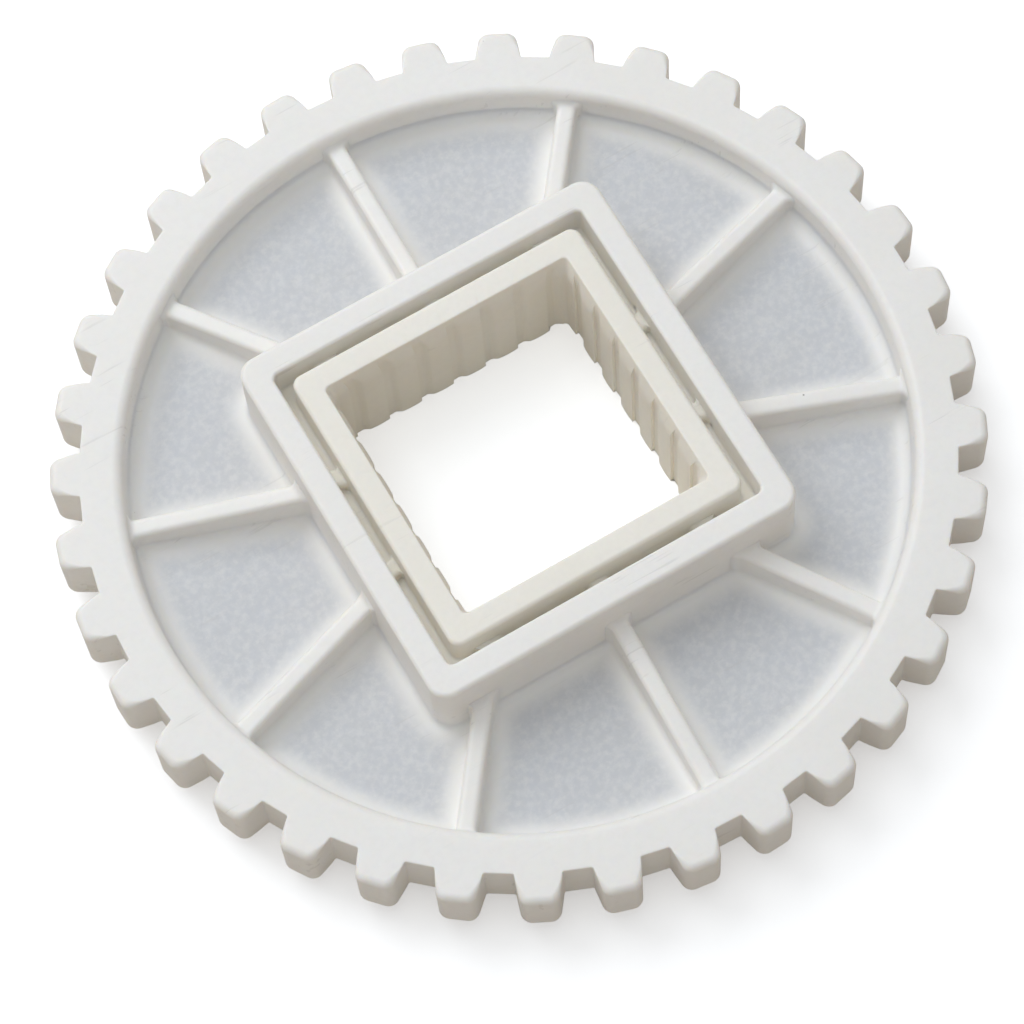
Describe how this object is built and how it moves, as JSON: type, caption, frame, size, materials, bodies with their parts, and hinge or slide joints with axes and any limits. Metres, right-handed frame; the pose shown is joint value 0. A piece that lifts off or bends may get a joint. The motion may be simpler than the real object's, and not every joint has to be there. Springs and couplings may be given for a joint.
{
  "type": "spur gear",
  "caption": "Moulded plastic toothed drive wheel with a ribbed web and a double-walled square hub whose bore is lined with lands and shallow recesses.",
  "frame": {"origin": "on the bore axis, halfway along the hub", "axes": "+Z along the bore axis, out of the ribbed face; X and Y square to the faces of the bore"},
  "size_m": [0.1432, 0.1432, 0.022],
  "materials": {
    "natural_acetal": "satin off-white engineering plastic, slightly translucent, with fine handling marks"
  },
  "bodies": {
    "root": {"toothed_rim": "natural_acetal", "web": "natural_acetal", "outer_hub_wall": "natural_acetal", "gap_floor": "natural_acetal", "bore_sleeve": "natural_acetal", "rib_01": "natural_acetal", "rib_02": "natural_acetal", "rib_03": "natural_acetal", "rib_04": "natural_acetal", "rib_05": "natural_acetal", "rib_06": "natural_acetal", "rib_07": "natural_acetal", "rib_08": "natural_acetal", "rib_09": "natural_acetal", "rib_10": "natural_acetal", "bridge_01": "natural_acetal", "bridge_02": "natural_acetal", "bridge_03": "natural_acetal", "bridge_04": "natural_acetal", "bridge_05": "natural_acetal", "bridge_06": "natural_acetal", "bridge_07": "natural_acetal", "bridge_08": "natural_acetal", "bridge_09": "natural_acetal", "bridge_10": "natural_acetal"}
  },
  "joints": []
}
